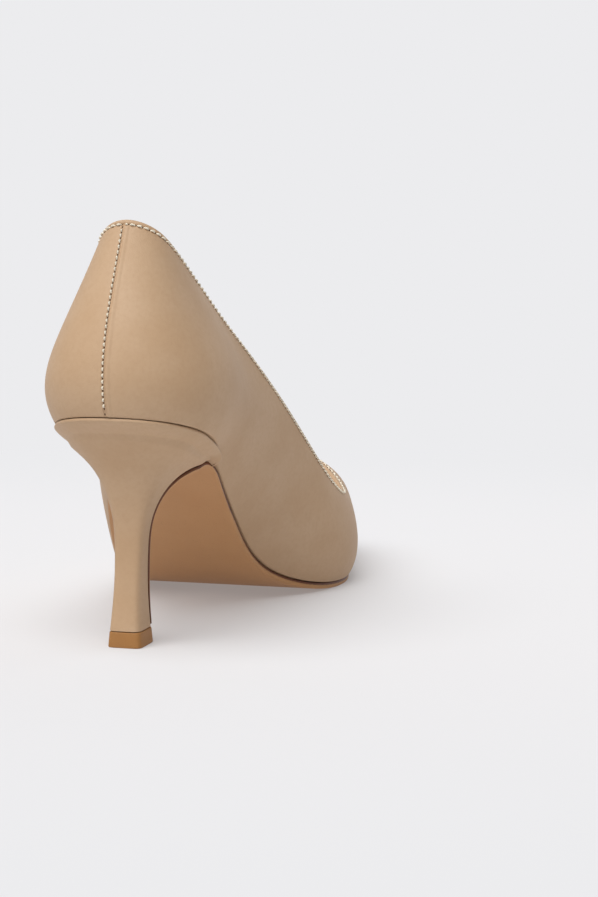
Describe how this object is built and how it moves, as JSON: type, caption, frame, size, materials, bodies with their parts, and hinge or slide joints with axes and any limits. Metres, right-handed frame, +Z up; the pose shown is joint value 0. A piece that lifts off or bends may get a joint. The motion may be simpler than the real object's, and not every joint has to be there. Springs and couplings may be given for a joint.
{
  "type": "high heel pump",
  "caption": "Closed pointed-toe pump for the left foot, with a wrapped flared high heel, a stitched topline and a rubber top lift.",
  "frame": {"origin": "centre of the top lift's bottom face, on the floor", "axes": "+Y from the heel towards the toe, +X towards the inner (medial) side of the foot, +Z up"},
  "size_m": [0.0817, 0.236, 0.1349],
  "materials": {
    "upper_leather": "smooth nude calf with a soft sheen",
    "lining_leather": "matt peach lining leather",
    "sock_leather": "matt sock leather",
    "sole_leather": "burnished tan sole with a dark brown edge",
    "lift_rubber": "matt caramel",
    "heel_plastic": "moulded",
    "stiffener": "pressed thermoplastic sheet",
    "backing_cloth": "plain cotton",
    "fibreboard": "pressed cellulose fibre",
    "cork": "ground cork",
    "foam": "latex foam",
    "steel": "plain spring steel",
    "thread": "waxed cream thread"
  },
  "bodies": {
    "root": {"upper": "upper_leather", "heel_cover": "upper_leather", "heel_counter": "stiffener", "toe_puff": "stiffener", "interlining_medial": "backing_cloth", "interlining_lateral": "backing_cloth", "topline_tape": "backing_cloth", "back_seam_tape": "backing_cloth", "heel_grip": "lining_leather", "quarter_lining_medial": "lining_leather", "quarter_lining_lateral": "lining_leather", "vamp_lining": "lining_leather", "insole_board": "fibreboard", "shank_board": "fibreboard", "steel_shank": "steel", "bottom_filler": "cork", "heel_pad": "foam", "ball_pad": "foam", "sock_lining": "sock_leather", "heel_core": "heel_plastic", "heel_dowel": "steel", "heel_screw": "steel", "heel_nail_1": "steel", "heel_nail_2": "steel", "heel_nail_3": "steel", "heel_nail_4": "steel", "shank_rivet_1": "steel", "shank_rivet_2": "steel", "top_lift": "lift_rubber", "top_lift_pin": "steel", "outsole": "sole_leather", "topline_stitching": "thread", "back_seam_stitching": "thread"}
  },
  "joints": []
}
